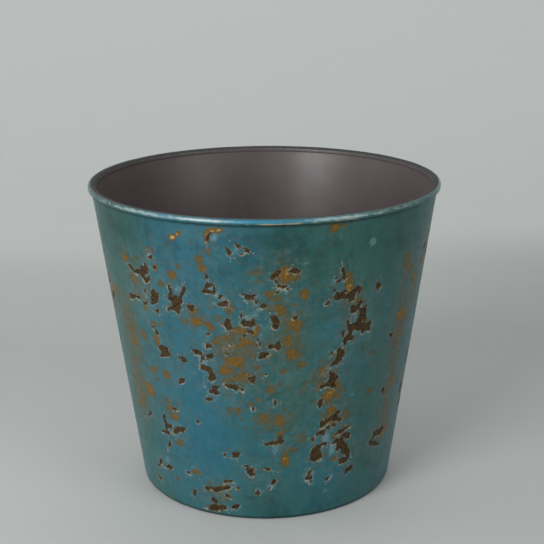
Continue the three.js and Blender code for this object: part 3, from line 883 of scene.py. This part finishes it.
def lay_bead(paint, colours, fine):
    """The painted blue highlight, the worn silver that is partly painted highlight, the worn lower edge and
    thin top of the bead, and the painted shade below it and along the foot.
    """
    run = paint.noise(0.9, detail=4, stretch=(4, 4, 1), offset=9.0, roughness=0.6)
    # Painted highlight: a lighter blue on the bead's upper face.
    paint.lay(paint.attribute("painted_blue_highlight"), colours.painted_blue_highlight)
    # Worn silver, left of the face partly painted highlight.
    wear_and_highlight = paint.band(paint.field("bead", run, 2.2), 0.35, 1.0, 0, 0.8)
    paint.lay(wear_and_highlight, paint.mix(fine, colours.cream, colours.silver_wear_and_highlight))
    lip = paint.band(paint.field("lip", run, 1.6), 0.4, 0.9, 0, 0.8)
    paint.lay(lip, paint.mix(fine, colours.gold, colours.cream))
    thin = paint.band(paint.field("thin", run, 0.8), 0.3, 0.8, 0, 0.9)
    paint.lay(thin, (0.070, 0.078, 0.068))
    # Painted shade: dark green in the hollow under the bead and along the foot.
    painted_shade = paint.band(paint.field("painted_shade", run, 0.7), 0.1, 0.9, 0, 0.75)
    paint.lay(painted_shade, tinted(colours.green, 0.22))


def patina_material(colours):
    """Paint, chalky patches, ochre stains, pale edges, chips to the brown, specks, and a worn bead with
    painted highlights and painted shade.
    """
    paint = Recipe("patina_paint")
    fine = paint.noise(0.9, detail=4, roughness=0.65)
    patch = paint.noise(2.6, detail=3, offset=5.0)
    lay_paint(paint, colours)
    chalk = paint.field("patch", paint.noise(1.1, detail=3, offset=8.0), 1.2)
    paint.lay(paint.band(chalk, 0.15, 0.95, 0, 0.6), colours.chalk)
    stain = lay_stains(paint, colours, fine)
    lay_edges(paint, colours, fine, patch)
    bare = lay_chips(paint, colours, fine)
    lay_bead(paint, colours, fine)

    bead = paint.attribute("bead")
    rough = paint.plus(paint.band(patch, 0.3, 0.7, 0.33, 0.42), paint.band(bead, 0.02, 0.3, 0, -0.14))
    rough = paint.plus(rough, paint.times(bare, 0.2))
    relief = paint.shifted(paint.times(bare, -0.12), fine, 0.03)
    relief = paint.shifted(relief, patch, 0.06)
    specular = paint.times(paint.band(bead, 0.02, 0.3, 0.32, 0.8), paint.band(bare, 0, 1, 1, 0.6))
    specular = paint.times(specular, paint.band(stain, 0.1, 0.7, 1, 0.6))
    return paint.finish(rough, relief, specular)


def paper_material(stage):
    """Pale matt paper, with painted shade behind the bucket, a painted shadow to its right, and painted light
    further back and far away.
    """
    paper = Recipe("sweep_paper")
    mottle = paper.noise(60, detail=3)
    paper.base = paper.mix(mottle, tinted(stage.paper, 0.98), tinted(stage.paper, 1.02))
    across, away, _ = paper.add("SeparateXYZ", inputs={0: paper.place}).outputs
    # Painted shade on the floor behind the bucket.
    deep = paper.times(paper.band(away, -0.05, 0.2), paper.band(away, 0.46, 0.28))
    paper.lay(paper.times(deep, 0.5), tinted(stage.paper, 0.72))
    # Painted shadow on the floor to the bucket's right.
    near = paper.times(paper.band(across, 0.0, 0.24), paper.band(away, 0.52, 0.4))
    paper.lay(paper.times(near, 0.6), tinted(stage.paper, 0.7))
    # Painted light further back, where the sweep rises.
    paper.lay(paper.band(away, 0.34, 0.5, 0, 0.8), tinted(stage.paper, 1.05))
    reach = paper.add("VectorMath", {"operation": "LENGTH"}, {0: paper.place}).outputs["Value"]
    # Painted light far away.
    paper.lay(paper.band(reach, 1.4, 2.5, 0, 0.9), (0.94, 0.96, 0.95))
    relief = paper.times(paper.noise(0.9), 0.03)
    return paper.finish(paper.band(mottle, 0.3, 0.7, 0.6, 0.7), relief)


# Pieces


class MESH_OT_bucket_shell(bpy.types.Operator):
    """Makes the moulding: underside, foot, the wall under the coat, rim, inside and floor"""

    bl_idname = "mesh.bucket_shell"
    bl_label = "Bucket shell"

    def execute(self, context):
        sizes = context.scene.bucket_sizes
        outside = outside_outline(sizes)
        halfway = ARC_STEPS // 2
        hidden = outside - normals(outside) * (sizes.coat + COAT_GAP)
        land_edge = outside[-1] - (COAT_GAP, 0)
        hidden[-1, 0] = land_edge[0]
        outline = np.concatenate((
            underside_outline(sizes), outside[:halfway], hidden[halfway:], [land_edge],
            inside_outline(sizes)))
        outline = subdivided(outline, SHELL_STEP)
        material = plastic_material(context.scene.bucket_colours)
        shell = add_turned("bucket_shell_moulding", outline, SHELL_COLUMNS, material)
        self.add_wear(shell, sizes)
        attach(shell, "root")
        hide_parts("bucket_shell")
        return {"FINISHED"}

    def add_wear(self, shell, sizes):
        """Paint mist beside the coat's two edges, and dust on the floor, as numbers from 0 to 1."""
        places = np.zeros(len(shell.data.vertices) * 3)
        shell.data.vertices.foreach_get("co", places)
        places = places.reshape(-1, 3)
        radius, height = np.hypot(places[:, 0], places[:, 1]), places[:, 2]
        rim = smooth(radius, sizes.band_radius - 0.6 * MM, sizes.band_radius + 0.8 * MM)
        rim *= height > sizes.height - 2 * MM
        foot = smooth(radius, sizes.base_radius - 4.5 * MM, sizes.base_radius - 1.0 * MM)
        foot *= height < 0.8 * MM
        inside = radius < sizes.base_radius
        dust = smooth(-height, -0.03, -sizes.panel_rise) * inside * (height > sizes.panel_rise + MM)
        add_attribute(shell, "mist", np.maximum(rim, foot))
        add_attribute(shell, "dust", dust)


class MESH_OT_bucket_paint_coat(bpy.types.Operator):
    """Makes the paint coat, with its chips cut into it"""

    bl_idname = "mesh.bucket_paint_coat"
    bl_label = "Paint coat"

    def execute(self, context):
        sizes = context.scene.bucket_sizes
        outline = outside_outline(sizes)[ARC_STEPS // 2 :]
        outer = subdivided(outline, COAT_STEP)
        inner = outline - normals(outline) * sizes.coat
        inner = subdivided(inner[::-1], BACK_STEP)
        wall = Wall(ring_of_points(outer, sizes.columns))
        fields = self.patina(wall, sizes)
        depth = sizes.chip_depth * smooth(fields["chip"], -0.3, 0.5)
        depth -= UNEVENNESS * cloud(wall.points, 5 * MM, 21)
        outwards = ring_of_points(normals(outer), sizes.columns)
        points = wall.points - depth[..., None] * outwards
        points = np.concatenate((points, ring_of_points(inner, sizes.columns)))
        rows, columns = points.shape[:2]
        faces = grid_faces(rows, columns, rows, columns).tolist()
        material = patina_material(context.scene.bucket_colours)
        coat = add_piece("bucket_paint_coat", points, faces, material)
        blank = {"chip": FAR_OUTSIDE, "halo": FAR_OUTSIDE}
        for name, field in fields.items():
            hidden = np.full((len(inner), sizes.columns), blank.get(name, 0.0))
            add_attribute(coat, name, np.concatenate((field, hidden)))
        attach(coat, "root")
        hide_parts("paint_coat")
        return {"FINISHED"}

    def patina(self, wall, sizes):
        """The fields that the material reads."""
        far_chips, far_stains, far_patches = far_marks(sizes)
        chips, stains = CHIPS + far_chips, STAINS + far_stains
        ragged = 0.35 * cloud(wall.points, 2.1 * MM, 5) + 0.3 * cloud(wall.points, 1.2 * MM, 6)
        return {
            "chip": chip_field(wall, chips, 3) + ragged + CHIP_GROWTH,
            "halo": chip_field(wall, chips, 3, shift=(-0.12, -0.22)) + ragged + CHIP_GROWTH,
            "stain": stain_field(wall, stains + WASHES),
            "patch": stain_field(wall, PATCHES + far_patches),
            "crowd": crowd_field(wall, chips + stains, 4.5),
            # Blue and green tone, partly painted highlight.
            "tone_and_highlight": broad_field(wall, TONES_AND_HIGHLIGHTS),
            "shade": broad_field(wall, SHADES),
            # Worn bead, left of the face partly painted highlight.
            "bead": np.clip(0.15 + along_bead(wall, BEAD_WEAR_AND_HIGHLIGHT), 0, 1.2) * bead_face(wall, sizes),
            # Painted highlight on the bead.
            "painted_blue_highlight": np.clip(along_bead(wall, BEAD_BLUE_HIGHLIGHT), 0, 1) * bead_face(wall, sizes),
            "lip": np.clip(along_bead(wall, BEAD_EDGE), 0, 1) * bead_edge(wall, sizes),
            "thin": thin_field(wall, sizes),
            # Painted shade under the bead and along the foot.
            "painted_shade": painted_shade_field(wall, sizes),
        }


# Stage


def add_area_light(name, place, aim, width, height, power):
    """A soft box of that width, height and power, looking at the aim."""
    light = bpy.data.lights.new(name, "AREA")
    light.shape = "RECTANGLE"
    light.size = width
    light.size_y = height
    light.energy = power
    box = bpy.data.objects.new(name, light)
    box.location = place
    box.rotation_euler = (Vector(aim) - Vector(place)).to_track_quat("-Z", "Y").to_euler()
    bpy.context.scene.collection.objects.link(box)


def add_sweep(stage):
    """A sheet of paper: level as far as start, then an arc of radius bend, then upright.

    It is worked out from the length along it and the length across.
    """
    bend, start, reach, width, upright = 1.3, 0.55, 9, 9, 1
    rows, columns = 160, 24
    along = np.linspace(-reach, start + bend * math.pi / 2 + upright, rows)
    angle = np.clip((along - start) / bend, 0, math.pi / 2)
    depth = np.minimum(along, start) + bend * np.sin(angle)
    rise = bend * (1 - np.cos(angle)) + np.maximum(along - start - bend * math.pi / 2, 0)
    across = np.linspace(-width, width, columns)
    points = np.stack(np.broadcast_arrays(across, depth[:, None], rise[:, None]), axis=-1)
    faces = grid_faces(rows, columns, rows - 1, columns - 1).tolist()
    sweep = add_piece("paper_sweep", points, faces, paper_material(stage))


def add_camera(stage):
    """A camera at a distance and height from its aim, looking down by the pitch."""
    camera = bpy.data.objects.new("camera", bpy.data.cameras.new("camera"))
    camera.data.lens = stage.lens
    camera.data.clip_start = 0.01
    turn = Euler((math.pi / 2 - stage.pitch, 0, 0)).to_matrix() @ Matrix.Rotation(stage.roll, 3, "Z")
    back = turn @ Vector((0, 0, 1))
    camera.location = Vector((stage.aim_across, 0, stage.aim_height)) + stage.distance * back
    camera.rotation_euler = turn.to_euler()
    bpy.context.scene.collection.objects.link(camera)
    bpy.context.scene.camera = camera


class SCENE_OT_bucket_stage(bpy.types.Operator):
    """Makes the pale sweep, the soft boxes, the air light and the camera"""

    bl_idname = "scene.bucket_stage"
    bl_label = "Stage"

    def execute(self, context):
        stage = context.scene.bucket_stage
        add_sweep(stage)
        aim = (0, 0, CAD_HIGH.z / 2)
        add_area_light("key_box", (-1.1, -1.4, 0.8), aim, 0.8, 1.4, 24)
        add_area_light("side_box", (-1.7, 0.0, 0.8), aim, 0.9, 1.2, 4)
        add_area_light("fill_box", (1.3, -1.1, 0.9), aim, 0.9, 1.2, 7)
        add_area_light("wall_box", (0.2, 0.9, 2.1), (0.2, 2.2, 0.8), 1.8, 0.6, 7)
        world = bpy.data.worlds.new("air")
        world.use_nodes = True
        background = world.node_tree.nodes["Background"].inputs
        background["Color"].default_value = (*stage.air, 1)
        background["Strength"].default_value = AIR_STRENGTH
        context.scene.world = world
        context.scene.view_settings.view_transform = "Standard"
        add_camera(stage)
        return {"FINISHED"}


class VIEW3D_PT_bucket(bpy.types.Panel):
    """The bucket's sizes, its colours and the buttons that make it"""

    bl_idname = "VIEW3D_PT_bucket"
    bl_label = "Florist bucket"
    bl_space_type = "VIEW_3D"
    bl_region_type = "UI"
    bl_category = "Bucket"

    def draw(self, context):
        for group in (
            context.scene.bucket_sizes, context.scene.bucket_colours, context.scene.bucket_stage,
        ):
            for name in group.__annotations__:
                self.layout.prop(group, name)
        for operator in OPERATORS:
            self.layout.operator(operator.bl_idname)


OPERATORS = (MESH_OT_bucket_shell, MESH_OT_bucket_paint_coat, SCENE_OT_bucket_stage)
GROUPS = (BucketSizes, BucketColours, BucketStage)


def register():
    for cls in (*GROUPS, *OPERATORS, VIEW3D_PT_bucket):
        bpy.utils.register_class(cls)
    bpy.types.Scene.bucket_sizes = PointerProperty(type=BucketSizes)
    bpy.types.Scene.bucket_colours = PointerProperty(type=BucketColours)
    bpy.types.Scene.bucket_stage = PointerProperty(type=BucketStage)


def unregister():
    del bpy.types.Scene.bucket_stage
    del bpy.types.Scene.bucket_colours
    del bpy.types.Scene.bucket_sizes
    for cls in reversed((*GROUPS, *OPERATORS, VIEW3D_PT_bucket)):
        bpy.utils.unregister_class(cls)


def main():
    register()
    bpy.ops.mesh.bucket_shell()
    bpy.ops.mesh.bucket_paint_coat()
    bpy.ops.scene.bucket_stage()


if __name__ == "__main__":
    main()
